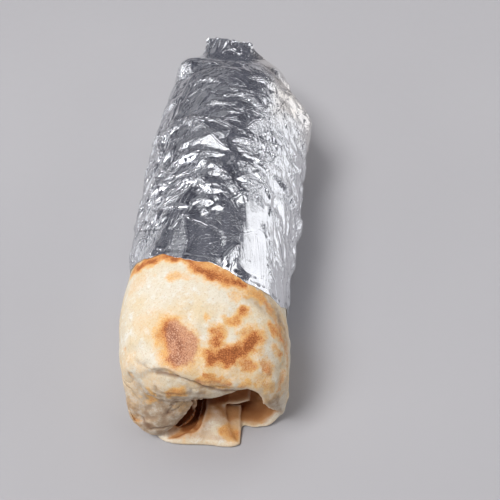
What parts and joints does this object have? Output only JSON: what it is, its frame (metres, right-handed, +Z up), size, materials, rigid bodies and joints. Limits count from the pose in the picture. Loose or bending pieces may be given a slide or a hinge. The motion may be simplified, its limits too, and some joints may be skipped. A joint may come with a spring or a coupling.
{
  "type": "chicken kebab durum",
  "caption": "Rolled flatbread wrap lying on its side, open and folded at one end, its other part in a crumpled foil sleeve with a pinched tail.",
  "frame": {"origin": "on the surface that the wrap lies on, under the middle of the bounding box", "axes": "+Y along the roll, from the open folded end to the foil's pinched tail; +Z up; +X to the right as seen from the open end"},
  "size_m": [0.0814, 0.231, 0.06],
  "materials": {
    "flatbread": "dry toasted flatbread, cream with brown scorched spots",
    "foil": "crumpled bright kitchen foil"
  },
  "bodies": {
    "root": {"flatbread": "flatbread", "foil": "foil"}
  },
  "joints": []
}
